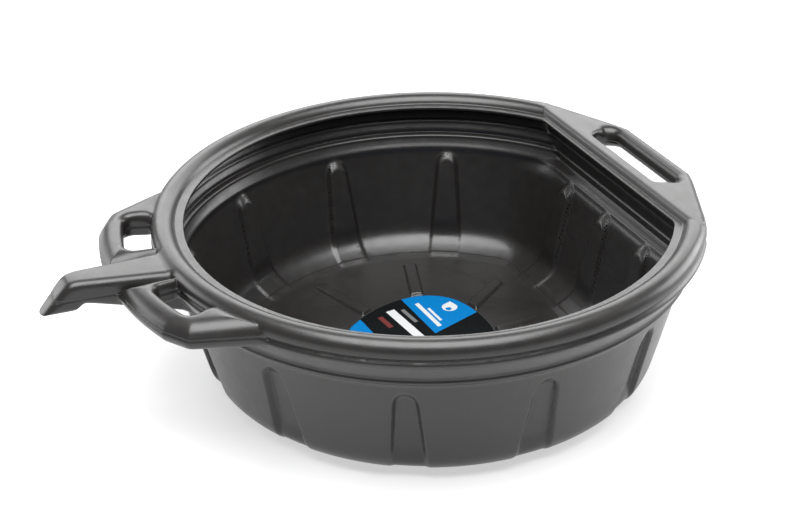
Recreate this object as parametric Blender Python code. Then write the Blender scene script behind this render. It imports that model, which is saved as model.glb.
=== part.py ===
"""Round oil drain pan with a flat rear side, two front loop handles, a rear
grip handle and a closed pouring spout.

The pan is one hollow plastic moulding. It is modelled as its named sections,
which meet at the moulding's natural borders with a small clearance, plus the
round self-adhesive label on the floor.

Frame: origin on the flat underside at the centre of the round basin, +X
towards the rear (flat) side, -X towards the spout, +Z up. The pan is
symmetric about the XZ plane. Metres.
"""
import math

import bmesh
import bpy
import numpy as np

MM = 0.001
GAP = 0.0003                  # clearance between neighbouring sections
WALL = 3.0 * MM               # wall thickness of the moulding
LIP_Z = 152.0 * MM            # height of the splash lip's cut edge
PLAN_POWER = 30.0             # sharpness of the corners round/flat side

# outer skin of the basin, bottom to top: (radius, flat-side distance, z)
FLOOR_SKIN = [(176, 138, 0.0), (182, 144, 1.7), (189, 151, 6.0),
              (197, 159, 10.8), (202.1, 164.1, 13.9)]
WALL_SKIN = [(202.9, 164.9, 14.6), (205.8, 167.8, 17.5), (207.6, 169.6, 21.5),
             (208.9, 170.9, 27.0), (214.5, 176.5, 50.0), (221.5, 183.5, 80.0), (225.6, 187.6, 98.0),
             (229.2, 199.0, 110.0), (231.6, 199.7, 116.0), (234.6, 200.0, 119.6)]
BAND_SKIN = [(235.1, 200.0, 120.3), (240.8, 200.0, 131.0), (246.6, 200.0, 142.0),
             (247.9, 200.0, 145.5), (247.6, 200.0, 150.0), (246.4, 199.7, 154.5)]
LIP_SKIN = [(246.2, 199.6, 155.0), (243.6, 197.6, 159.0), (239.6, 194.4, 160.6),
            (234.0, 192.4, 158.2), (226.5, 187.0, 154.2), (218.5, 182.6, 153.0)]

RIB_DEPTH = 5.0 * MM          # how far the stiffening ribs press inwards
RIB_HALF_TOP = 11.0 * MM      # half width of a rib near its top
RIB_HALF_BOTTOM = 16.0 * MM   # half width of a rib at the base
RIB_FLANK = 4.0 * MM          # width of a rib's sloping flank
RIB_TOP_Z = 105.0 * MM
RIB_BOTTOM_Z = 17.0 * MM
RIB_ANGLES = [62.0, 91.5, 121.0, 150.5, 180.0, 209.5, 239.0, 268.5, 298.0]
RIB_FLAT_Y = [-70.5 * MM, 0.0, 70.5 * MM]   # ribs on the flat side

# handles
PLATE_TOP = 160.0 * MM
PLATE_BOTTOM = 136.0 * MM
HANDLE_ARC = 293.5            # outer radius of the front handles
SLOT_OUT = 270.0              # outer radius of the front handle slots
SLOT_IN = 240.0
REAR_EDGE_X = 241.6           # straight outer edge of the rear handle

# spout: (x, half width, top z, bottom z)
SPOUT_STATIONS = [(-249.5, 22.0, 157.5, 126.5), (-270.0, 20.0, 158.8, 129.5),
                  (-296.0, 17.0, 161.0, 134.5), (-322.0, 14.2, 162.6, 140.5),
                  (-328.0, 13.6, 161.6, 135.4), (-336.0, 12.8, 157.0, 135.2),
                  (-345.0, 11.8, 147.5, 135.1), (-356.0, 10.6, 135.6, 135.0)]

LABEL_CENTRE = (9.0 * MM, 10.0 * MM)
LABEL_RADIUS = 83.0 * MM
LABEL_THICKNESS = 0.25 * MM


def clear_scene():
    for obj in list(bpy.data.objects):
        bpy.data.objects.remove(obj, do_unlink=True)


def collection(name):
    coll = bpy.data.collections.new(name)
    bpy.context.scene.collection.children.link(coll)
    return coll


def material(name, color, roughness, metallic=0.0):
    mat = bpy.data.materials.new(name)
    mat.use_nodes = True
    bsdf = mat.node_tree.nodes["Principled BSDF"]
    bsdf.inputs["Base Color"].default_value = (*color, 1.0)
    bsdf.inputs["Roughness"].default_value = roughness
    bsdf.inputs["Metallic"].default_value = metallic
    mat.diffuse_color = (*color, 1.0)
    return mat


def new_object(name, bm, coll, mat=None):
    bmesh.ops.remove_doubles(bm, verts=bm.verts, dist=1e-6)
    bmesh.ops.recalc_face_normals(bm, faces=bm.faces)
    mesh = bpy.data.meshes.new(name)
    bm.to_mesh(mesh)
    bm.free()
    obj = bpy.data.objects.new(name, mesh)
    coll.objects.link(obj)
    if mat:
        mesh.materials.append(mat)
    return obj


def plan_radius(theta, radius, flat):
    """Radius of the D-shaped plan at an angle: a circle cut by x = flat."""
    c = math.cos(theta)
    if c <= 0.0:
        return radius
    return ((1.0 / radius) ** PLAN_POWER
            + (c / flat) ** PLAN_POWER) ** (-1.0 / PLAN_POWER)


def smooth(t):
    t = min(1.0, max(0.0, t))
    return t * t * (3.0 - 2.0 * t)


def rib_inset(theta, x, y, z):
    """How far the wall is pressed inwards by the ribs at a point."""
    t = (z - RIB_BOTTOM_Z) / (RIB_TOP_Z - RIB_BOTTOM_Z)
    if t <= 0.0 or t >= 1.0:
        return 0.0
    half = RIB_HALF_BOTTOM + (RIB_HALF_TOP - RIB_HALF_BOTTOM) * t
    across = 1.0e9
    rad = math.hypot(x, y)
    for deg in RIB_ANGLES:
        d = (theta - math.radians(deg) + math.pi) % (2 * math.pi) - math.pi
        across = min(across, abs(d) * rad)
    if abs(theta if theta < math.pi else theta - 2 * math.pi) < 0.6:
        for yc in RIB_FLAT_Y:
            across = min(across, abs(y - yc))
    side = smooth((half - across) / RIB_FLANK)
    end = smooth((1.0 - t) * 8.0) * smooth(t * 14.0)
    return RIB_DEPTH * side * end


def plan_angles():
    """Angles of the plan's points: even steps, plus each rib's flanks."""
    angles = {round(a, 3) for a in np.arange(0.0, 360.0, 6.0)}
    for deg in RIB_ANGLES:
        for mm_off in (-16.0, -12.5, -8.0, 8.0, 12.5, 16.0):
            angles.add(round((deg + math.degrees(mm_off / 218.0)) % 360.0, 3))
    for yc in RIB_FLAT_Y:
        for mm_off in (-16.0, -12.5, -8.0, 8.0, 12.5, 16.0):
            a = math.degrees(math.atan2(yc / MM + mm_off, 180.0)) % 360.0
            angles.add(round(a, 3))
    out = []
    for a in sorted(angles):
        if not out or a - out[-1] > 0.8:
            out.append(a)
    return [math.radians(a) for a in out]


RIB_WALL_ANGLES = plan_angles()
PLAIN_ANGLES = [math.radians(a) for a in range(0, 360, 5)]


def ring(profile_point, offset=0.0, ribs=False):
    """One level of the plan, as a list of points in metres."""
    r, f, z = (v * MM for v in profile_point)
    pts = []
    for th in (RIB_WALL_ANGLES if ribs else PLAIN_ANGLES):
        rad = plan_radius(th, r + offset, f + offset)
        x, y = rad * math.cos(th), rad * math.sin(th)
        if ribs:
            s = rib_inset(th, x, y, z)
            x, y = x * (1 - s / rad), y * (1 - s / rad)
        pts.append((x, y, z))
    return pts


def inner_profile(profile, thick):
    """The profile moved inwards, square to itself, by the wall thickness."""
    out = []
    t = thick / MM
    last = len(profile) - 1
    for i, (r, f, z) in enumerate(profile):
        # the two points of a joint between sections share one direction
        lo, hi = max(i - 1, 0), min(i + 1, last)
        if lo > 0 and math.dist(profile[lo], profile[i]) < 1.0:
            lo -= 1
        if hi < last and math.dist(profile[hi], profile[i]) < 1.0:
            hi += 1
        a, b = profile[lo], profile[hi]
        dr, dz = b[0] - a[0], b[2] - a[2]
        n = math.hypot(dr, dz)
        nr, nz = -dz / n, dr / n
        df = b[1] - a[1]
        m = math.hypot(df, dz)
        out.append((r + t * nr, f - t * dz / m, z + t * (nz if n else 0.0)))
    return out


def loft_closed(name, levels, coll, mat=None):
    """Join levels into a ring-shaped body, the last level to the first."""
    bm = bmesh.new()
    rows = [[bm.verts.new(p) for p in lev] for lev in levels]
    n = len(rows[0])
    for i, row in enumerate(rows):
        nxt = rows[(i + 1) % len(rows)]
        for j in range(n):
            k = (j + 1) % n
            bm.faces.new((row[j], row[k], nxt[k], nxt[j]))
    return new_object(name, bm, coll, mat)


def loft_capped(name, levels, coll, mat=None):
    """Join levels into a body that is closed by its first and last level."""
    bm = bmesh.new()
    rows = [[bm.verts.new(p) for p in lev] for lev in levels]
    n = len(rows[0])
    for row, nxt in zip(rows, rows[1:]):
        for j in range(n):
            k = (j + 1) % n
            bm.faces.new((row[j], row[k], nxt[k], nxt[j]))
    bm.faces.new(list(reversed(rows[0])))
    bm.faces.new(rows[-1])
    return new_object(name, bm, coll, mat)


def arc(radius, a0, a1, count):
    """Points of an arc about the pan's axis, angles in degrees."""
    return [(radius * math.cos(math.radians(a)), radius * math.sin(math.radians(a)))
            for a in np.linspace(a0, a1, count)]


def rounded(points, radii, steps=4):
    """A polygon with rounded corners: one radius for each corner."""
    out = []
    n = len(points)
    for i in range(n):
        r = radii[i]
        p = np.array(points[i], float)
        if r <= 0:
            out.append(tuple(p))
            continue
        a = np.array(points[i - 1], float) - p
        b = np.array(points[(i + 1) % n], float) - p
        a /= np.linalg.norm(a)
        b /= np.linalg.norm(b)
        half = math.acos(float(np.clip(a @ b, -1, 1))) / 2
        d = r / math.tan(half)
        mid = (a + b) / np.linalg.norm(a + b)
        c = p + mid * r / math.sin(half)
        v0 = p + a * d - c
        v1 = p + b * d - c
        for s in range(steps + 1):
            t = s / steps
            w = math.acos(float(np.clip(v0 @ v1 / r / r, -1, 1)))
            v = (math.sin((1 - t) * w) * v0 + math.sin(t * w) * v1) / math.sin(w)
            out.append(tuple(c + v))
    return out


def plate(name, outline, z_low, z_high, bevel, coll, mat=None):
    """A flat plate from an outline in mm, with rounded edges."""
    curve = bpy.data.curves.new(name + "_outline", "CURVE")
    curve.dimensions = "2D"
    curve.fill_mode = "BOTH"
    curve.extrude = (z_high - z_low) / 2 - bevel
    curve.bevel_depth = bevel
    curve.bevel_resolution = 1
    curve.offset = -bevel
    spline = curve.splines.new("POLY")
    spline.points.add(len(outline) - 1)
    for pt, (x, y) in zip(spline.points, outline):
        pt.co = (x * MM, y * MM, 0.0, 1.0)
    spline.use_cyclic_u = True
    obj = bpy.data.objects.new(name + "_curve", curve)
    bpy.context.scene.collection.objects.link(obj)
    obj.location.z = (z_high + z_low) / 2
    bpy.context.view_layer.update()
    deps = bpy.context.evaluated_depsgraph_get()
    mesh = bpy.data.meshes.new_from_object(obj.evaluated_get(deps))
    bm = bmesh.new()
    bm.from_mesh(mesh)
    bmesh.ops.transform(bm, matrix=obj.matrix_world, verts=bm.verts)
    bpy.data.objects.remove(obj, do_unlink=True)
    bmesh.ops.remove_doubles(bm, verts=bm.verts, dist=1e-5)
    return new_object(name, bm, coll, mat)


def mirrored(name, source, coll, mat):
    """A mirror image of an object across the XZ plane."""
    bm = bmesh.new()
    bm.from_mesh(source.data)
    for v in bm.verts:
        v.co.y = -v.co.y
    bmesh.ops.reverse_faces(bm, faces=bm.faces)
    return new_object(name, bm, coll, mat)


def cut(target, cutter, operation="DIFFERENCE"):
    """Apply a Boolean to a target at once."""
    mod = target.modifiers.new("cut", "BOOLEAN")
    mod.object = cutter
    mod.operation = operation
    mod.solver = "EXACT"
    bpy.context.view_layer.update()
    deps = bpy.context.evaluated_depsgraph_get()
    mesh = bpy.data.meshes.new_from_object(target.evaluated_get(deps))
    target.modifiers.remove(mod)
    old = target.data
    target.data = mesh
    mesh.name = target.name
    bpy.data.meshes.remove(old)
    bm = bmesh.new()
    bm.from_mesh(mesh)
    bmesh.ops.remove_doubles(bm, verts=bm.verts, dist=1e-5)
    bmesh.ops.dissolve_degenerate(bm, edges=bm.edges, dist=1e-6)
    bm.to_mesh(mesh)
    bm.free()


def hide_cutter(obj):
    obj.hide_render = True
    obj.display_type = "WIRE"
    for coll in list(obj.users_collection):
        coll.objects.unlink(obj)
    CUTTERS.objects.link(obj)


def box(name, lo, hi):
    """A box between two corners, in mm."""
    size = [b - a for a, b in zip(lo, hi)]
    mid = [(a + b) / 2 for a, b in zip(lo, hi)]
    bpy.ops.mesh.primitive_cube_add(size=1.0, location=[v * MM for v in mid])
    obj = bpy.context.object
    obj.name = name
    obj.data.transform(np_matrix(size))
    hide_cutter(obj)
    return obj


def np_matrix(size):
    from mathutils import Matrix
    return Matrix.Diagonal((size[0] * MM, size[1] * MM, size[2] * MM, 1.0))


def shade(obj, degrees=35.0):
    obj.data.shade_smooth()
    obj.data.set_sharp_from_angle(angle=math.radians(degrees))


clear_scene()
PARTS = collection("oil_drain_pan")
CUTTERS = collection("cutters")
PLASTIC = {n: material(n + "_plastic", (0.045, 0.044, 0.044), 0.45)
           for n in ("basin_floor", "basin_wall", "rim_band", "splash_lip",
                     "handle_front_left",
                     "handle_front_right", "handle_rear", "pour_spout")}
LABEL = material("floor_label_print", (0.02, 0.25, 0.55), 0.35)

# --- basin floor: a shallow dish, flat inside and underneath ---------------
skin_inner = inner_profile(FLOOR_SKIN + WALL_SKIN + BAND_SKIN + LIP_SKIN, WALL)
floor_inner = skin_inner[:len(FLOOR_SKIN)]
floor_inner[0] = (floor_inner[0][0] + 2.0, floor_inner[0][1] + 2.0, WALL / MM)
floor_levels = ([ring(p, ribs=True) for p in FLOOR_SKIN]
                + [ring(p, ribs=True) for p in reversed(floor_inner)])
basin_floor = loft_capped("basin_floor", floor_levels, PARTS, PLASTIC["basin_floor"])

# --- basin wall with its stiffening ribs -----------------------------------
wall_end = len(FLOOR_SKIN) + len(WALL_SKIN)
wall_inner = skin_inner[len(FLOOR_SKIN):wall_end]
wall_levels = ([ring(p, ribs=True) for p in WALL_SKIN]
               + [ring(p, ribs=True) for p in reversed(wall_inner)])
basin_wall = loft_closed("basin_wall", wall_levels, PARTS, PLASTIC["basin_wall"])

# --- rolled rim: its outer band, then the crown with the splash lip --------
band_inner = skin_inner[wall_end:wall_end + len(BAND_SKIN)]
band_levels = [ring(p) for p in BAND_SKIN] + [ring(p) for p in reversed(band_inner)]
rim_band = loft_closed("rim_band", band_levels, PARTS, PLASTIC["rim_band"])

lip_inner = skin_inner[-len(LIP_SKIN):]
lip_inner[-1] = (LIP_SKIN[-1][0], LIP_SKIN[-1][1], LIP_SKIN[-1][2] - 2.4)
lip_levels = [ring(p) for p in LIP_SKIN] + [ring(p) for p in reversed(lip_inner)]
splash_lip = loft_closed("splash_lip", lip_levels, PARTS, PLASTIC["splash_lip"])

# the passage from the rim's hollow into the spout
spout_window = box("spout_window", (-262, -17, 133), (-236, 17, 151))
cut(rim_band, spout_window)

# everything that joins the rim is trimmed to the rim's outer form
clear_levels = [ring((p[0], p[1], p[2]), offset=GAP) for p in WALL_SKIN[-3:]]
clear_levels += [ring((p[0], p[1], p[2]), offset=GAP) for p in BAND_SKIN]
clear_levels += [ring((p[0], p[1], p[2] + 0.3), offset=GAP) for p in LIP_SKIN[:3]]
clear_levels += [ring((LIP_SKIN[3][0], LIP_SKIN[3][1], 175.0))]
rim_form = loft_capped("rim_form", clear_levels, PARTS)
hide_cutter(rim_form)

# --- front handles ---------------------------------------------------------
corner = (-264.5, 115.0)
front_outline = ([(-206.0, 136.0)] + [(-206.6, 135.8), corner]
                 + arc(HANDLE_ARC, 158.3, 176.5, 8)
                 + [(-249.5, 22.5), (-228.0, 23.1)]
                 + arc(232.0, 171.0, 149.0, 6))
front_radii = [0.0, 0.0, 13.0] + [0.0] * 8 + [0.0, 0.0] + [0.0] * 6
front_slot = rounded(arc(SLOT_OUT, 159.6, 169.6, 5) + arc(SLOT_IN, 171.5, 157.0, 5),
                     [6.0, 0, 0, 0, 6.0] + [0.0] * 5)
front_slot_wall = rounded(arc(SLOT_OUT + 3, 158.9, 170.3, 5)
                          + arc(SLOT_IN - 3, 172.2, 156.3, 5),
                          [8.0, 0, 0, 0, 8.0] + [0.0] * 5)
front_cavity = ([(-206.0, 132.6), (-262.5, 111.6)]
                + arc(HANDLE_ARC - WALL / MM, 158.8, 175.8, 8)
                + [(-249.5, 25.6), (-228.0, 26.2)]
                + arc(232.0, 171.0, 149.0, 6))


def make_handle(name, outline, radii, slot, slot_wall, cavity, mat):
    body = plate(name, rounded(outline, radii), PLATE_BOTTOM, PLATE_TOP,
                 4.0 * MM, PARTS, mat)
    slot_cut = plate(name + "_slot", slot, PLATE_BOTTOM - 0.02, PLATE_TOP + 0.02,
                     0.0, PARTS)
    hollow = plate(name + "_hollow", cavity, PLATE_BOTTOM + WALL,
                   PLATE_TOP - WALL, 2.0 * MM, PARTS)
    sleeve = plate(name + "_sleeve", slot_wall, PLATE_BOTTOM - 0.02,
                   PLATE_TOP + 0.02, 0.0, PARTS)
    cut(hollow, sleeve)
    cut(body, hollow)
    cut(body, slot_cut)
    cut(body, rim_form)
    for c in (slot_cut, hollow, sleeve):
        hide_cutter(c)
    return body


handle_front_left = make_handle("handle_front_left", front_outline, front_radii,
                                front_slot, front_slot_wall, front_cavity,
                                PLASTIC["handle_front_left"])
handle_front_right = mirrored("handle_front_right", handle_front_left, PARTS,
                              PLASTIC["handle_front_right"])

# --- rear handle -----------------------------------------------------------
rear_outline = [(190.0, -136.0), (206.0, -136.0), (236.5, -68.0), (REAR_EDGE_X, -54.0),
                (REAR_EDGE_X, 54.0), (236.5, 68.0), (206.0, 136.0), (190.0, 136.0)]
rear_radii = [0.0, 0.0, 14.0, 10.0, 10.0, 14.0, 0.0, 0.0]
rear_slot = rounded([(195.0, -60.5), (225.8, -60.5), (225.8, 60.5), (195.0, 60.5)],
                    [0.0, 11.0, 11.0, 0.0])
rear_slot_wall = rounded([(190.0, -63.5), (228.8, -63.5), (228.8, 63.5), (190.0, 63.5)],
                         [0.0, 14.0, 14.0, 0.0])
rear_cavity = [(190.0, -129.0), (204.0, -129.0), (233.4, -66.5), (238.6, -53.0),
               (238.6, 53.0), (233.4, 66.5), (204.0, 129.0), (190.0, 129.0)]
handle_rear = make_handle("handle_rear", rear_outline, rear_radii, rear_slot,
                          rear_slot_wall, rear_cavity, PLASTIC["handle_rear"])


# --- pouring spout: a closed beam, open to the rim and down at its tip -----
def spout_level(station, inset=0.0, shift=0.0):
    """A rounded rectangle square to X."""
    x, half, top, bottom = station
    c = 4.5 - inset * 0.6
    h = half - inset
    t, b = top - inset, bottom + inset
    if t - b < 2.2 * c:
        c = max((t - b) / 2.2, 0.05)
    pts = []
    for cy, cz, a0 in ((h - c, t - c, 0.0), (-h + c, t - c, 90.0),
                       (-h + c, b + c, 180.0), (h - c, b + c, 270.0)):
        for k in range(4):
            a = math.radians(a0 + 30.0 * k)
            pts.append(((x + shift) * MM, (cy + c * math.cos(a)) * MM,
                        (cz + c * math.sin(a)) * MM))
    return pts


root_x = -228.0
stations = [(root_x, 22.6, 156.5, 122.5)] + SPOUT_STATIONS
pour_spout = loft_capped("pour_spout", [spout_level(s) for s in stations],
                         PARTS, PLASTIC["pour_spout"])
inner = [(-222.0, 22.4, 156.0, 121.0)] + [s for s in stations[:6]]
inner += [(-344.0, 11.9, 146.5, 134.9)]
channel = loft_capped("spout_channel", [spout_level(s, inset=WALL / MM) for s in inner],
                      PARTS)
mouth = plate("spout_mouth", rounded([(-350.5, -7.6), (-331.0, -9.8),
                                      (-331.0, 9.8), (-350.5, 7.6)], [2.0] * 4, 2),
              128.0 * MM, 141.5 * MM, 0.0, PARTS)
cut(pour_spout, channel)
cut(pour_spout, mouth)
cut(pour_spout, rim_form)
for c in (channel, mouth):
    hide_cutter(c)

# --- round label on the floor ----------------------------------------------
bpy.ops.mesh.primitive_cylinder_add(
    vertices=48, radius=LABEL_RADIUS, depth=LABEL_THICKNESS,
    location=(LABEL_CENTRE[0], LABEL_CENTRE[1],
              WALL + GAP + LABEL_THICKNESS / 2))
floor_label = bpy.context.object
floor_label.name = "floor_label"
floor_label.data.materials.append(LABEL)
for coll in list(floor_label.users_collection):
    coll.objects.unlink(floor_label)
PARTS.objects.link(floor_label)

for obj in PARTS.objects:
    shade(obj)
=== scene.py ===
import math

import bpy
import numpy as np
from mathutils import Matrix, Vector


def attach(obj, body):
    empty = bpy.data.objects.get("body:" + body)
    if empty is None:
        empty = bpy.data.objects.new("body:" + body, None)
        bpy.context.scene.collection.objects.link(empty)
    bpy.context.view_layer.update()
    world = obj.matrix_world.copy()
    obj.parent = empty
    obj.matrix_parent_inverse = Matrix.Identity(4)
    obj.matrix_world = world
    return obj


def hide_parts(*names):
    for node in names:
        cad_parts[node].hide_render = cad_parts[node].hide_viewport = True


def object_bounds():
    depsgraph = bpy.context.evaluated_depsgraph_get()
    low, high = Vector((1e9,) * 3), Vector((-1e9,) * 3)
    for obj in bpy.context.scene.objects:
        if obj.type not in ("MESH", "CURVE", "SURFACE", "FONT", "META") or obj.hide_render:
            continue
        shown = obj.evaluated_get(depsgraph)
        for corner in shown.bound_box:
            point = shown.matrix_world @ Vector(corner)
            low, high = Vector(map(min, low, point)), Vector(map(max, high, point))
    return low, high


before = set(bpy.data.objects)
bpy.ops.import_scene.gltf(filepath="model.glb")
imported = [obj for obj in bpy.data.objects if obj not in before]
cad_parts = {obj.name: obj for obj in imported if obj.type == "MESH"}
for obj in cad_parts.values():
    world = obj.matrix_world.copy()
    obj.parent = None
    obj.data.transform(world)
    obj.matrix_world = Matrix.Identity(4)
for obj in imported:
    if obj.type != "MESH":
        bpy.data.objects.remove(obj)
CAD_BOX = [list(map(float, v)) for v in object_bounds()]
F32 = np.float32

LIP = 152.0  # height of the lip above the ground, mm
SKIN = 3.0  # wall thickness

# ---------------------------------------------------------------- 2-D helpers


def soften(points, rounds=2):
    """Corner cutting on an open run of points; its two ends stay."""
    p = np.array(points, float)
    for _ in range(rounds):
        a, b = p[:-1], p[1:]
        q = np.empty((2 * len(a), 2))
        q[0::2] = 0.75 * a + 0.25 * b
        q[1::2] = 0.25 * a + 0.75 * b
        p = np.vstack([p[:1], q, p[-1:]])
    return p


def fillet(points, steps=7):
    """Closed outline of (x, y, radius) with each corner turned into an arc."""
    out = []
    n = len(points)
    for i in range(n):
        p = np.array(points[i][:2], float)
        r = points[i][2]
        if r <= 0:
            out.append(p)
            continue
        a = np.array(points[i - 1][:2], float) - p
        b = np.array(points[(i + 1) % n][:2], float) - p
        a /= np.linalg.norm(a)
        b /= np.linalg.norm(b)
        half = 0.5 * math.acos(max(-1, min(1, float(a @ b))))
        d = r / math.tan(half)
        mid = (a + b) / np.linalg.norm(a + b)
        c = p + mid * (r / math.sin(half))
        s, e = p + a * d - c, p + b * d - c
        s0 = math.atan2(s[1], s[0])
        da = (math.atan2(e[1], e[0]) - s0 + math.pi) % (2 * math.pi) - math.pi
        for k in range(steps + 1):
            t = s0 + da * k / steps
            out.append(c + r * np.array([math.cos(t), math.sin(t)]))
    return np.array(out)


class Outline:
    """Signed distance to a closed outline, read from a fine table."""

    def __init__(self, poly, lo, hi, step=0.5):
        self.lo, self.step = lo, step
        self.n = [int(math.ceil((hi[i] - lo[i]) / step)) + 1 for i in (0, 1)]
        u = lo[0] + step * np.arange(self.n[0])
        v = lo[1] + step * np.arange(self.n[1])
        U, V = np.meshgrid(u, v, indexing="ij")
        U, V = U.ravel(), V.ravel()
        best = np.full(U.shape, 1e12)
        odd = np.zeros(U.shape, bool)
        poly = np.asarray(poly, float)
        for a, b in zip(poly, np.roll(poly, -1, 0)):
            d = b - a
            L = float(d @ d)
            if L < 1e-12:
                continue
            t = np.clip(((U - a[0]) * d[0] + (V - a[1]) * d[1]) / L, 0, 1)
            best = np.minimum(best, (U - a[0] - t * d[0]) ** 2 + (V - a[1] - t * d[1]) ** 2)
            if a[1] != b[1]:
                cross = (a[1] > V) != (b[1] > V)
                odd ^= cross & (U < (b[0] - a[0]) * (V - a[1]) / (b[1] - a[1]) + a[0])
        s = np.sqrt(best)
        self.t = np.where(odd, -s, s).astype(F32)

    def __call__(self, u, v):
        a = (u - self.lo[0]) / self.step
        b = (v - self.lo[1]) / self.step
        a = np.clip(a, 0, self.n[0] - 1.001)
        b = np.clip(b, 0, self.n[1] - 1.001)
        i, j = a.astype(np.int32), b.astype(np.int32)
        a, b = a - i, b - j
        k = i * self.n[1] + j
        t = self.t
        return (t[k] * (1 - b) + t[k + 1] * b) * (1 - a) + (
            t[k + self.n[1]] * (1 - b) + t[k + self.n[1] + 1] * b
        ) * a


def smax(a, b, k):
    h = np.maximum(k - np.abs(a - b), 0) / k
    return np.maximum(a, b) + h * h * (k * 0.25)


def smin(a, b, k):
    return -smax(-a, -b, k)


def ease(t):
    t = np.clip(t, 0, 1)
    return t * t * (3 - 2 * t)


# ---------------------------------------------------------------- profiles
# (radius, height from the lip), outer skin, from the base up over the rim
ROUND_LOW = [
    (-400, -152), (120, -152), (172, -152), (176.5, -151.7), (183, -149.6), (190, -146.2),
    (197, -142), (202, -137.8), (205.5, -133), (207.8, -127.5), (209.3, -122), (210.3, -118),
    (214.5, -101), (222, -70.6), (228, -46.3), (228.8, -43), (229.8, -40.2), (231.3, -37.9),
    (233.1, -36.0), (234.8, -34.8), (236.1, -33.8), (236.7, -32.8), (236.6, -31.7), (236, -30.8),
    (235.7, -29.8), (236.4, -28.4), (241, -20.8), (245.2, -13.8), (246.6, -12.2), (247.5, -11.2),
    (247.9, -10.2), (247.9, -9.2), (247.5, -8.2), (246.5, -7.2), (245.5, -6.2), (245.2, -5.4),
]
# the rim above the parting line is a half-round bead, then the flat lip
ROUND_TOP = [(245.2, -5.4), (246.5, -4.6), (247.2, -3.4)]
ROUND_TOP += [(236.7 + 10.8 * math.cos(math.radians(t)), -1.5 + 10.8 * math.sin(math.radians(t)))
              for t in range(0, 166, 9)]
ROUND_TOP += [(225.6, 1.35), (224.4, 1.3), (215, 1.3), (-400, 1.3)]
ROUND = np.vstack([soften(ROUND_LOW), soften(ROUND_TOP)[1:]])
# (x, height), outer skin of the flat side
SIDE = soften([
    (-400, -200), (60, -168), (112, -155.5), (134, -152), (138.5, -151.7), (145, -149.6),
    (152, -146.2), (159, -142), (164, -137.8), (167.5, -133), (169.8, -127.5), (171.3, -122),
    (172.3, -118), (176.4, -101.3), (183.5, -72.6), (186.4, -60.8), (187.6, -56), (189, -53),
    (193, -48.5), (197.3, -44.9), (199.2, -42.6), (200, -39), (200, -30), (200, 30), (-400, 30),
])
# fold between the lip and the rear grip plate
FOLD = soften([
    (186.6, -10), (186.6, -2), (186.8, 1.2), (187.6, 3.4), (188.4, 5.8), (189.3, 7.6), (190.8, 8.6),
    (193, 8.7), (199, 8.7),
]).tolist() + [(199, -10)]

rim_round = Outline(ROUND, (100, -158), (276, 22))
rim_side = Outline(SIDE, (90, -158), (240, 22))
rim_fold = Outline(FOLD, (170, -24), (230, 22))


# ---------------------------------------------------------------- label outline
LABEL_C = (6.0, 14.0)
# angle about the label's own centre and radius
LABEL_R = [(-12.3, 64.6), (5.2, 64.9), (17.7, 67.6), (28.6, 71.2), (38.6, 75.8), (48.3, 80.0),
           (57, 82.4), (67.5, 83), (78, 81.5), (90, 79.1), (101.7, 77.0), (113, 76.3), (125.8, 76.4),
           (144.6, 79.3), (163, 80.5), (185, 79), (208, 77.5), (232, 78.5), (256, 80), (280, 79),
           (304, 74.5), (326, 68.5)]


def label_radius(t):
    a = np.radians([p[0] for p in LABEL_R])
    r = np.array([p[1] for p in LABEL_R])
    n = len(a)
    ext_a = np.concatenate([a[-3:] - 2 * math.pi, a, a[:3] + 2 * math.pi])
    ext_r = np.concatenate([r[-3:], r, r[:3]])
    t = (t - a[0]) % (2 * math.pi) + a[0]
    i = np.clip(np.searchsorted(ext_a, t, side="right") - 1, 1, n + 3)
    x0, x1 = ext_a[i], ext_a[i + 1]
    m0 = (ext_r[i + 1] - ext_r[i - 1]) / (ext_a[i + 1] - ext_a[i - 1])
    m1 = (ext_r[i + 2] - ext_r[i]) / (ext_a[i + 2] - ext_a[i])
    d = x1 - x0
    u = (t - x0) / d
    return ((2 * u**3 - 3 * u**2 + 1) * ext_r[i] + (u**3 - 2 * u**2 + u) * d * m0
            + (-2 * u**3 + 3 * u**2) * ext_r[i + 1] + (u**3 - u**2) * d * m1)


LABEL_A = np.linspace(-math.pi, math.pi, 721)
LABEL_RT = label_radius(LABEL_A)


def polar(r, deg):
    return (r * math.cos(math.radians(deg)), r * math.sin(math.radians(deg)))


FRONT = [(*polar(240, 146.7), 0), (-206.6, 135.8, 0), (-264.5, 115, 13)]
FRONT += [(*polar(293.5, a), 0) for a in np.linspace(161.5, 176.5, 22)]
FRONT += [(-249.5, 22.0, 0), (-239, 22.4, 0)]
FRONT += [(*polar(240, a), 0) for a in np.linspace(174, 149, 22)]
front_plan = Outline(fillet(FRONT), (-304, 8), (-190, 150))
REAR = [(168, 143, 0), (200.5, 144.5, 6), (207.5, 132, 18), (236.5, 68, 14), (241.6, 54, 10)]
REAR += [(x, -y, r) for x, y, r in reversed(REAR)]
rear_plan = Outline(fillet(REAR), (176, -154), (252, 154))

# spout seen from its side: (x, height above the ground)
SPOUT = np.vstack([
    soften([(-222, 155.6), (-232, 156.2), (-300, 161), (-318, 162.5), (-326, 162.4), (-332, 160.6),
            (-338, 155.4), (-346, 145.8), (-355.8, 134.9)], 2),
    soften([(-355.8, 134.9), (-352, 134.7), (-340, 134.9), (-330, 135), (-325.5, 135.6),
            (-322.6, 138.2), (-319.6, 140.4), (-314, 139.4), (-304, 136.6), (-287.6, 132), (-250, 121),
            (-236, 116.6), (-222, 112)], 2)[1:],
])
spout_side = Outline(SPOUT, (-366, 104), (-216, 174))

RIBS = [math.radians(a) for a in (60, 90, 120, 150, 180)]
RIB_DEPTH = 5.3


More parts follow.
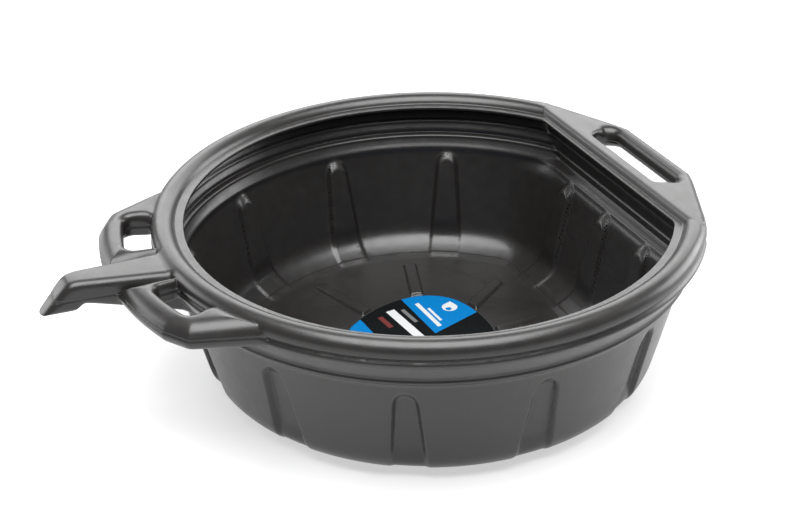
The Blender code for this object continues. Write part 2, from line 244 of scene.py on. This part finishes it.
def tombstone(s, z, up):
    """Share of full depth of one pressed rib, from its sideways place and height."""
    wide = 8.7 + np.clip(-50 - z, 0, 85) * (6.2 / 85)
    side = ease(0.5 - (np.abs(s) - wide) / 5.4)
    top = ease((-45.5 - z - 6.0 * np.minimum((s / wide) ** 2, 2.0)) / 12.5)
    return side * top * (0.22 + 0.78 * ease((z + 141) / 27))


def bars(x, y):
    """Share of full height of the ten radial bars pressed up in the floor."""
    out = np.zeros_like(x)
    ay = np.abs(y)
    for k in range(6):
        a = math.radians(36 * k)
        t = x * math.cos(a) + ay * math.sin(a)
        s = np.abs(-x * math.sin(a) + ay * math.cos(a))
        end = np.maximum(t - 160, x - 117)
        d = np.maximum(s - 6, np.maximum(end, 70 - t))
        out = np.maximum(out, ease(0.5 - d / 2.6))
    near = np.interp(np.arctan2(y - LABEL_C[1], x - LABEL_C[0]), LABEL_A, LABEL_RT)
    return out * ease((np.hypot(x - LABEL_C[0], y - LABEL_C[1]) - near - 0.5) / 3.0)


def outer(x, y, z):
    """Signed distance to the outer skin of the whole moulding; z from the lip."""
    r = np.hypot(x, y)
    ay = np.abs(y)
    k = 1.0 + 19 * ease((z + 148) / 26) - 17 * ease((z + 62) / 24)
    k = np.where(z < -147, 0.05, k)
    v = smax(rim_round(r, z), rim_side(x, z), k)
    if z.min() < -40:
        up = np.clip((z + 62) / 14, 0, 1)
        m = np.zeros_like(x)
        for a in RIBS:
            s = -x * math.sin(a) + ay * math.cos(a)
            t = x * math.cos(a) + ay * math.sin(a)
            m = np.maximum(m, tombstone(s, z, up) * (t > 0) * ease((r - 174) / 8))
        for s in (y, ay - 70.5):
            m = np.maximum(m, tombstone(s, z, up) * (x > 120) * (np.abs(y) < 92) * ease((x - 136) / 8))
        v = v + RIB_DEPTH * m
    if z.min() < -138:
        v = v + 3.0 * bars(x, y) * ease((-138 - z) / 6)
    if z.max() > -60:
        kh = 0.4 + 3.4 * ease((3 - z) / 6)
        groove = 0.7 * np.maximum(0, 1 - np.abs(z + 5.0) / 1.3)
        # rear fold and grip
        fold = smax(rim_fold(x, z), r - 243, 2.0)
        v = smin(v, fold, 0.3 + 0 * z)
        h = smax(rear_plan(x, y), np.abs(z + 3.15) - 11.85, 10.0)
        sx, sy = np.abs(x - 213.2) - (13.4 - 11), ay - (60.5 - 11)
        slot = np.hypot(np.maximum(sx, 0), np.maximum(sy, 0)) + np.minimum(np.maximum(sx, sy), 0) - 11
        slot = slot - 0.3 * np.maximum(0, -4 - z)
        h = np.maximum(h, 191.5 - x)
        h = smax(h, -slot, 3.5 + 9.0 * ease((x - 206) / 14))
        v = smin(v, h + groove, kh)
        # front grips
        top = np.minimum(8.7, 8.7 - 0.07 * (r - 247))
        mid, half = (top - 16.5) * 0.5, (top + 16.5) * 0.5
        plan = front_plan(x, ay) + 0.05 * np.maximum(0, -5 - z)
        h = smax(plan, np.abs(z - mid) - half, 11.0 + 9.0 * ease((z + 9) / 7))
        ang = np.arctan2(ay, x)
        sx = np.abs(r - 253.7) - (17.7 - 8)
        sy = np.abs(ang - math.radians(166.0)) * 259.4 - (29.0 - 8)
        slot = np.hypot(np.maximum(sx, 0), np.maximum(sy, 0)) + np.minimum(np.maximum(sx, sy), 0) - 8
        h = smax(h, -slot, 8.0)
        v = smin(v, h + groove, kh)
        # spout
        wide = np.interp(x, [-356, -345, -322, -236], [10.4, 11.6, 14.0, 23.0]).astype(x.dtype)
        h = smax(spout_side(x, z + LIP), ay - wide, 8.5)
        h = h + 0.6 * np.maximum(0, 1 - np.abs(z + 5.0) / 1.3)
        h = smax(h, np.minimum(237 - r, z + 2), 2.0)
        v = smin(v, h, 4.0 + 0 * z)
    return v


def skin(x, y, z):
    """Signed distance to the moulded sheet itself."""
    w = outer(x, y, z)
    low = ease((-112 - z) / 26)
    plate = smax(np.hypot(x, y) - 183, x - 144, 6.0)
    thick = SKIN + 0.7 * low * ease(0.5 - plate / 1.6)
    thick = thick + 1.7 * np.exp(-((z + 45.5) / 3.4) ** 2) + 1.2 * np.exp(-((z + 34.5) / 1.9) ** 2)
    thick = thick + 0.7 * np.exp(-((z + 21.5) / 1.6) ** 2)
    s = smax(w, -(w + thick), 0.3)
    if z.max() > -14:
        mouth = smax(np.hypot(x, y) - 218.5, x - 182.6, 3.0)
        mouth = np.maximum(mouth, -12 - z)
        s = smax(s, -mouth, 0.9)
        cut = np.maximum(np.abs(x + 340.8) - 7.8, np.abs(y) - 7.0)
        cut = np.maximum(cut, z + LIP - 138)
        s = smax(s, -cut, 0.9)
    return s


# ---------------------------------------------------------------- surface


def spread(stops):
    """Heights with their own spacing in each stretch: [(start, end, step), ...]."""
    out = []
    for a, b, h in stops:
        n = max(1, int(round((b - a) / h)))
        out += list(a + (b - a) * np.arange(n) / n)
    out.append(stops[-1][1])
    return np.array(out)


def surface(field, xs, ys, zs):
    """Vertices and quads of the zero surface of the field over a box of cells."""
    X, Y = np.meshgrid(xs, ys, indexing="ij")
    shape = X.shape
    X, Y = X.ravel().astype(F32), Y.ravel().astype(F32)
    f = np.empty((len(zs),) + shape, F32)
    for k, z in enumerate(zs):
        f[k] = field(X, Y, np.full(X.shape, z, F32)).reshape(shape)
    ins = f < 0
    n = np.zeros(tuple(s - 1 for s in f.shape), np.uint8)
    corners = [(c, b, a) for c in (0, 1) for b in (0, 1) for a in (0, 1)]
    for c, b, a in corners:
        n += ins[c:f.shape[0] - 1 + c, b:f.shape[1] - 1 + b, a:f.shape[2] - 1 + a]
    live = (n > 0) & (n < 8)
    K, I, J = np.nonzero(live)
    idx = np.full(live.shape, -1, np.int32)
    idx[K, I, J] = np.arange(len(K), dtype=np.int32)
    val = {c: f[K + c[0], I + c[1], J + c[2]] for c in corners}
    acc = np.zeros((len(K), 3), F32)
    cnt = np.zeros(len(K), F32)
    for c in corners:
        for axis in range(3):
            if c[axis]:
                continue
            d = list(c)
            d[axis] = 1
            v0, v1 = val[c], val[tuple(d)]
            hit = (v0 < 0) != (v1 < 0)
            t = np.where(hit, v0 / np.where(hit, v0 - v1, 1), 0)
            for ax in range(3):
                acc[:, ax] += np.where(hit, t if ax == axis else c[ax], 0)
            cnt += hit
    acc /= cnt[:, None]
    dz = np.diff(zs)
    P = np.empty((len(K), 3))
    P[:, 2] = zs[K] + acc[:, 0] * dz[K]
    P[:, 0] = xs[I] + acc[:, 1] * (xs[1] - xs[0])
    P[:, 1] = ys[J] + acc[:, 2] * (ys[1] - ys[0])
    quads = []
    for axis in range(3):
        a = [slice(None)] * 3
        b = [slice(None)] * 3
        a[axis], b[axis] = slice(None, -1), slice(1, None)
        hit = ins[tuple(a)] != ins[tuple(b)]
        o = [i for i in range(3) if i != axis]
        k = np.nonzero(hit)
        ok = (k[o[0]] > 0) & (k[o[1]] > 0)
        ok &= (k[o[0]] < idx.shape[o[0]]) & (k[o[1]] < idx.shape[o[1]])
        k = [q[ok] for q in k]

        def cell(d0, d1):
            q = list(k)
            q[o[0]] = q[o[0]] - d0
            q[o[1]] = q[o[1]] - d1
            return idx[q[0], q[1], q[2]]

        q = np.stack([cell(1, 1), cell(0, 1), cell(0, 0), cell(1, 0)], 1)
        flip = ins[k[0], k[1], k[2]]
        # array axes are (z, x, y): cyclic, so one rule of turn serves all three
        if axis == 1:
            flip = ~flip
        q[~flip] = q[~flip][:, ::-1]
        quads.append(q)
    return P, np.vstack(quads)


def gradient(field, P, h):
    P = P.astype(F32)
    g = np.empty(P.shape, F32)
    for a in range(3):
        d = np.zeros(3, F32)
        d[a] = h
        A, B = P + d, P - d
        g[:, a] = field(A[:, 0], A[:, 1], A[:, 2]) - field(B[:, 0], B[:, 1], B[:, 2])
    return g / (2 * h)


def onto(field, P, rounds=2, h=0.25, most=1.2):
    P = P.copy()
    for s in range(0, len(P), 150000):
        q = P[s:s + 150000].astype(F32)
        for _ in range(rounds):
            g = gradient(field, q, h)
            v = field(q[:, 0], q[:, 1], q[:, 2])
            step = -v / np.maximum((g * g).sum(1), 0.2)
            q = q + g * np.clip(step, -most, most)[:, None]
        P[s:s + 150000] = q
    return P


def normals(field, P, h=0.35):
    out = np.empty(P.shape)
    for s in range(0, len(P), 150000):
        g = gradient(field, P[s:s + 150000], h)
        out[s:s + 150000] = g / np.maximum(np.linalg.norm(g, axis=1), 1e-6)[:, None]
    return out


def build_mesh(name, P, faces):
    me = bpy.data.meshes.new(name)
    n, w = faces.shape
    me.vertices.add(len(P))
    me.vertices.foreach_set("co", np.ascontiguousarray(P, F32).ravel())
    me.loops.add(n * w)
    me.loops.foreach_set("vertex_index", np.ascontiguousarray(faces, np.int32).ravel())
    me.polygons.add(n)
    me.polygons.foreach_set("loop_start", np.arange(0, n * w, w, dtype=np.int32))
    me.update(calc_edges=True)
    me.validate()
    return me


def new_object(name, me):
    o = bpy.data.objects.new(name, me)
    bpy.context.scene.collection.objects.link(o)
    return o


def moulding():
    h = 1.45
    xs = np.arange(-362, 250 + h, h)
    n = int(math.ceil(253 / h))
    ys = (np.arange(2 * n) - n + 0.5) * h
    f = 1.0
    zs = spread([(-155.3, -146.3, 0.9 * f), (-146.3, -116, 1.3 * f), (-116, -50, 1.9 * f), (-50, -18, 1.2 * f), (-18, 13, 0.85 * f)])
    P, Q = surface(skin, xs, ys, zs)
    P = onto(skin, P)
    S = np.array([0.001] * 3)
    me = build_mesh("pan_raw", P * S, Q)
    o = new_object("pan_raw", me)
    goal = 196000
    m = o.modifiers.new("thin", "DECIMATE")
    m.ratio = min(1.0, goal / (2.0 * len(Q)))
    dg = bpy.context.evaluated_depsgraph_get()
    thin = bpy.data.meshes.new_from_object(o.evaluated_get(dg), depsgraph=dg)
    bpy.data.objects.remove(o)
    bpy.data.meshes.remove(me)
    thin.name = "pan_moulding"
    P = np.empty(len(thin.vertices) * 3, F32)
    thin.vertices.foreach_get("co", P)
    P = P.reshape(-1, 3).astype(float) * 1000
    P = onto(skin, P, rounds=2, most=0.5)
    N = normals(skin, P)
    P[:, 2] += LIP
    P[:, 2] = np.maximum(P[:, 2], 0)
    lo, hi = np.array(CAD_BOX[0]) * 1000, np.array(CAD_BOX[1]) * 1000
    P = np.clip(P, lo, hi)
    thin.vertices.foreach_set("co", (P * 0.001).astype(F32).ravel())
    thin.update()
    thin.polygons.foreach_set("use_smooth", np.ones(len(thin.polygons), bool))
    thin.normals_split_custom_set_from_vertices(N.tolist())
    print("moulding faces", len(thin.polygons), "box", P.min(0), P.max(0))
    return new_object("pan_moulding", thin)


# ---------------------------------------------------------------- label
def label():
    nt, nr = 240, 56
    t = np.arange(nt) * 2 * math.pi / nt
    R = label_radius(t)
    rings = np.concatenate([np.linspace(0.03, 0.985, nr), [1.0, 1.0]])
    P = [[LABEL_C[0], LABEL_C[1]]]
    drop = [0.0]
    for k, q in enumerate(rings):
        last = k == len(rings) - 1
        for j in range(nt):
            P.append([LABEL_C[0] + math.cos(t[j]) * R[j] * q, LABEL_C[1] + math.sin(t[j]) * R[j] * q])
            drop.append(0.34 if last else (0.08 if k == len(rings) - 2 else 0.0))
    P = np.array(P)
    x, y = P[:, 0].astype(F32), P[:, 1].astype(F32)
    lift = np.zeros(len(P))
    for dx, dy in ((0, 0), (1.2, 0), (-1.2, 0), (0, 1.2), (0, -1.2)):
        lift += bars(x + F32(dx), y + F32(dy)) * 0.2
    z = SKIN + 0.7 + 3.0 * lift + 0.34 - np.array(drop)
    top = np.column_stack([P, z])
    # underside: the same points pressed against the floor
    low = np.array([len(top)])
    faces = []
    m = len(rings)
    for j in range(nt):
        faces.append([0, 1 + j, 1 + (j + 1) % nt])
    quads = []
    for k in range(m - 1):
        a = 1 + k * nt
        for j in range(nt):
            quads.append([a + j, a + nt + j, a + nt + (j + 1) % nt, a + (j + 1) % nt])
    centre = len(top)
    verts = top.tolist() + [[LABEL_C[0], LABEL_C[1], SKIN + 0.72]]
    inner = []
    for k in (nr - 1, nr // 2):
        a = 1 + k * nt
        s = len(verts)
        for j in range(nt):
            p = top[a + j]
            verts.append([p[0], p[1], float(z[a + j]) - 0.32])
        inner.append(s)
    last = 1 + (m - 1) * nt
    ring_list = [last, inner[0], inner[1]]
    for a, b in zip(ring_list, ring_list[1:]):
        for j in range(nt):
            quads.append([a + j, b + j, b + (j + 1) % nt, a + (j + 1) % nt])
    a = ring_list[-1]
    for j in range(nt):
        faces.append([centre, a + (j + 1) % nt, a + j])
    me = bpy.data.meshes.new("label_print")
    me.from_pydata([tuple(c * 0.001 for c in v) for v in verts], [], faces + quads)
    me.validate()
    me.polygons.foreach_set("use_smooth", np.ones(len(me.polygons), bool))
    me.update()
    return new_object("floor_label_print", me)


# ---------------------------------------------------------------- materials


class Nodes:
    def __init__(self, name):
        self.mat = bpy.data.materials.new(name)
        self.mat.use_nodes = True
        self.t = self.mat.node_tree
        self.t.nodes.clear()
        self.out = self.t.nodes.new("ShaderNodeOutputMaterial")
        self.bsdf = self.t.nodes.new("ShaderNodeBsdfPrincipled")
        self.t.links.new(self.bsdf.outputs[0], self.out.inputs[0])
        self.co = self.t.nodes.new("ShaderNodeTexCoord")

    def put(self, socket, value):
        if isinstance(value, bpy.types.NodeSocket):
            self.t.links.new(value, socket)
        else:
            socket.default_value = value

    def noise(self, scale, detail=3.0, rough=0.5, vec=None):
        n = self.t.nodes.new("ShaderNodeTexNoise")
        n.inputs["Scale"].default_value = scale
        n.inputs["Detail"].default_value = detail
        n.inputs["Roughness"].default_value = rough
        self.put(n.inputs["Vector"], vec or self.co.outputs["Object"])
        return n.outputs["Fac"]

    def math(self, op, a, b=0.0, c=0.0, clamp=False):
        n = self.t.nodes.new("ShaderNodeMath")
        n.operation = op
        n.use_clamp = clamp
        for s, v in zip(n.inputs, (a, b, c)):
            self.put(s, v)
        return n.outputs[0]

    def ramp(self, fac, stops):
        n = self.t.nodes.new("ShaderNodeValToRGB")
        self.put(n.inputs[0], fac)
        e = n.color_ramp.elements
        while len(e) < len(stops):
            e.new(0.5)
        for s, (p, c) in zip(e, stops):
            s.position = p
            s.color = (*c, 1) if isinstance(c, tuple) else (c, c, c, 1)
        return n.outputs[0]

    def mix(self, fac, a, b):
        n = self.t.nodes.new("ShaderNodeMix")
        n.data_type = "RGBA"
        self.put(n.inputs[0], fac)
        self.put(n.inputs[6], a)
        self.put(n.inputs[7], b)
        return n.outputs[2]

    def range(self, v, a, b, c, d):
        n = self.t.nodes.new("ShaderNodeMapRange")
        for i, s in enumerate((v, a, b, c, d)):
            self.put(n.inputs[i], s)
        return n.outputs[0]

    def bump(self, height, strength, distance, after=None):
        n = self.t.nodes.new("ShaderNodeBump")
        n.inputs["Strength"].default_value = strength
        n.inputs["Distance"].default_value = distance
        self.put(n.inputs["Height"], height)
        if after is not None:
            self.put(n.inputs["Normal"], after)
        return n.outputs[0]


def plastic():
    m = Nodes("moulded_polyethylene")
    big = m.noise(9.0, 4.0, 0.55)
    mid = m.noise(90.0, 3.0, 0.5)
    fine = m.noise(1500.0, 2.0, 0.6)
    grain = m.noise(520.0, 3.0, 0.6)
    tone = m.math("MULTIPLY_ADD", mid, 0.35, m.math("MULTIPLY", big, 0.65))
    base = m.ramp(tone, [(0.3, (0.0100, 0.0093, 0.0089)), (0.52, (0.0125, 0.0116, 0.0111)), (0.72, (0.0155, 0.0144, 0.0138))])
    # fine pale scuffs that a carried tool picks up
    scuff = m.ramp(m.noise(260.0, 6.0, 0.75), [(0.66, 0.0), (0.74, 1.0)])
    base = m.mix(m.math("MULTIPLY", scuff, 0.05), base, (0.12, 0.115, 0.11, 1))
    m.put(m.bsdf.inputs["Base Color"], base)
    m.put(m.bsdf.inputs["Roughness"], m.range(m.math("MULTIPLY_ADD", fine, 0.4, m.math("MULTIPLY", mid, 0.6)), 0.3, 0.7, 0.28, 0.38))
    m.bsdf.inputs["Specular IOR Level"].default_value = 0.5
    m.bsdf.inputs["IOR"].default_value = 1.5
    b = m.bump(grain, 0.22, 0.00012)
    b = m.bump(mid, 0.12, 0.0006, b)
    m.put(m.bsdf.inputs["Normal"], b)
    return m.mat


def label_print():
    m = Nodes("printed_film")
    sep = m.t.nodes.new("ShaderNodeSeparateXYZ")
    m.put(sep.inputs[0], m.co.outputs["Object"])
    X = m.math("MULTIPLY", sep.outputs[0], 1000.0)
    Y = m.math("MULTIPLY", sep.outputs[1], 1000.0)

    def along(deg, ox, oy):
        """Distance along a direction from a point, mm."""
        c, s = math.cos(math.radians(deg)), math.sin(math.radians(deg))
        return m.math("MULTIPLY_ADD", X, c, m.math("MULTIPLY_ADD", Y, s, -(ox * c + oy * s)))

    def over(v, edge=0.0):
        """1 where v is past edge, with a soft 0.3 mm border."""
        return m.math("MULTIPLY_ADD", v, 3.5, 0.5 - edge * 3.5, clamp=True)

    def box(cx, cy, deg, half_l, half_w):
        a = m.math("ABSOLUTE", along(deg, cx, cy))
        b = m.math("ABSOLUTE", along(deg + 90, cx, cy))
        return m.math("MULTIPLY", over(m.math("MULTIPLY", a, -1.0), -half_l), over(m.math("MULTIPLY", b, -1.0), -half_w))

    def disc(cx, cy, r):
        a = m.math("SUBTRACT", X, cx)
        b = m.math("SUBTRACT", Y, cy)
        d = m.math("SQRT", m.math("ADD", m.math("MULTIPLY", a, a), m.math("MULTIPLY", b, b)))
        return over(m.math("MULTIPLY", d, -1.0), -r)

    def both(*v):
        o = v[0]
        for w in v[1:]:
            o = m.math("MULTIPLY", o, w)
        return o

    def either(*v):
        o = v[0]
        for w in v[1:]:
            o = m.math("MAXIMUM", o, w)
        return o

    blue1 = both(over(along(2.6, 16.5, 21.8)), over(along(108.8, 16.5, 21.8)))
    blue2 = over(along(182.9, -37.2, 60))
    blue = either(blue1, blue2)
    d = -84.0
    bars_white = either(box(-2.4, 50.0, d, 29.0, 4.6), box(25.0, 56.0, -87.0, 24.0, 2.2),
                        box(31.0, 54.0, -87.0, 13.0, 1.4))
    tear = either(disc(50, 60, 7.6), box(50 + 5.37 * math.cos(math.radians(63)), 60 + 5.37 * math.sin(math.radians(63)), 18, 3.8, 3.8))
    tear = both(tear, m.math("SUBTRACT", 1.0, disc(47.6, 57.4, 3.0)))
    grey = either(box(7.6, 62.0, d, 13.5, 2.0), box(-30.0, -10.0, d, 22.0, 1.6), box(-36.0, -10.0, d, 16.0, 1.6))
    red = either(box(-18.0, 61.0, d, 11.0, 2.6), box(34.0, -24.0, d, 18.0, 4.0))
    low_white = either(box(16.0, -24.0, d, 22.0, 5.0), box(2.0, -24.0, d, 16.0, 2.0))
    n = m.noise(700.0, 2.0, 0.6)
    ink = m.ramp(n, [(0.3, (0.0022, 0.0030, 0.0032)), (0.7, (0.0046, 0.0056, 0.0058))])
    col = m.mix(blue, ink, m.ramp(n, [(0.3, (0.001, 0.105, 0.29)), (0.7, (0.0015, 0.120, 0.32))]))
    col = m.mix(either(bars_white, tear, low_white), col, (0.42, 0.43, 0.43, 1))
    col = m.mix(grey, col, (0.11, 0.115, 0.115, 1))
    col = m.mix(red, col, (0.10, 0.022, 0.022, 1))
    m.put(m.bsdf.inputs["Base Color"], col)
    m.put(m.bsdf.inputs["Roughness"], m.range(m.noise(300.0, 3.0, 0.6), 0.3, 0.7, 0.5, 0.62))
    m.bsdf.inputs["Specular IOR Level"].default_value = 0.04
    m.put(m.bsdf.inputs["Normal"], m.bump(m.noise(120.0, 2.0, 0.5), 0.1, 0.0004))
    return m.mat


def ground():
    m = Nodes("studio_floor")
    base = m.ramp(m.noise(2.0, 2.0, 0.5), [(0.3, (0.40, 0.40, 0.40)), (0.7, (0.42, 0.42, 0.42))])
    m.put(m.bsdf.inputs["Base Color"], base)
    m.bsdf.inputs["Roughness"].default_value = 0.9
    m.bsdf.inputs["Specular IOR Level"].default_value = 0.0
    m.bsdf.inputs["Emission Color"].default_value = (1, 1, 1, 1)
    m.bsdf.inputs["Emission Strength"].default_value = 0.55
    return m.mat


# ---------------------------------------------------------------- object
pan = moulding()
pan.data.materials.append(plastic())
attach(pan, "root")
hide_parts("basin_floor", "basin_wall", "rim_band", "splash_lip", "handle_front_left",
            "handle_front_right", "handle_rear", "pour_spout")

sticker = label()
sticker.data.materials.append(label_print())
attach(sticker, "root")
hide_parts("floor_label")

# ---------------------------------------------------------------- studio
me = bpy.data.meshes.new("studio_floor")
me.from_pydata([(-9, -9, -0.0004), (9, -9, -0.0004), (9, 9, -0.0004), (-9, 9, -0.0004)], [], [(0, 1, 2, 3)])
floor = new_object("studio_floor", me)
floor.data.materials.append(ground())

PHI, PITCH, ROLL = 0.416064, 0.50828, -0.018177
EYE = Vector((-0.570966, -1.227456, 0.855133))
cp, sp, ce, se = math.cos(PHI), math.sin(PHI), math.cos(PITCH), math.sin(PITCH)
ahead = Vector((ce * sp, ce * cp, -se))
right0 = Vector((cp, -sp, 0))
up0 = Vector((se * sp, se * cp, ce))
c, s = math.cos(ROLL), math.sin(ROLL)
right = c * right0 + s * up0
up = -s * right0 + c * up0
cam = bpy.data.objects.new("camera", bpy.data.cameras.new("camera"))
cam.data.sensor_width = 36.0
cam.data.lens = 76.5
cam.data.clip_start, cam.data.clip_end = 0.05, 50
M = Matrix.Identity(4)
for i in range(3):
    M[i][0], M[i][1], M[i][2], M[i][3] = right[i], up[i], -ahead[i], EYE[i]
cam.matrix_world = M
bpy.context.scene.collection.objects.link(cam)
bpy.context.scene.camera = cam


def panel(name, side, away, high, width, height, radiance, aim=(0, 0, 0.12)):
    """Soft area light placed in the camera's own directions, metres."""
    at = Vector((cp * side + sp * away, -sp * side + cp * away, high))
    l = bpy.data.lights.new(name, "AREA")
    l.shape = "RECTANGLE"
    l.size, l.size_y = width, height
    l.energy = radiance * math.pi * width * height
    o = bpy.data.objects.new(name, l)
    o.location = at
    o.rotation_euler = (Vector(aim) - at).to_track_quat("-Z", "Y").to_euler()
    bpy.context.scene.collection.objects.link(o)
    return o


panel("back", 0.0, 2.5, 1.5, 4.2, 1.7, 4.4)
panel("top", 0.0, -0.45, 1.75, 1.8, 1.5, 9.5)
panel("left_strip", -2.3, 0.9, 0.7, 1.6, 1.2, 4.2)
panel("right_strip", 2.2, 1.0, 0.7, 1.6, 1.2, 7.5)

world = bpy.data.worlds.new("studio")
world.use_nodes = True
world.node_tree.nodes["Background"].inputs[0].default_value = (0.9, 0.9, 0.92, 1)
world.node_tree.nodes["Background"].inputs[1].default_value = 0.28
bpy.context.scene.world = world
bpy.context.scene.view_settings.view_transform = "Standard"
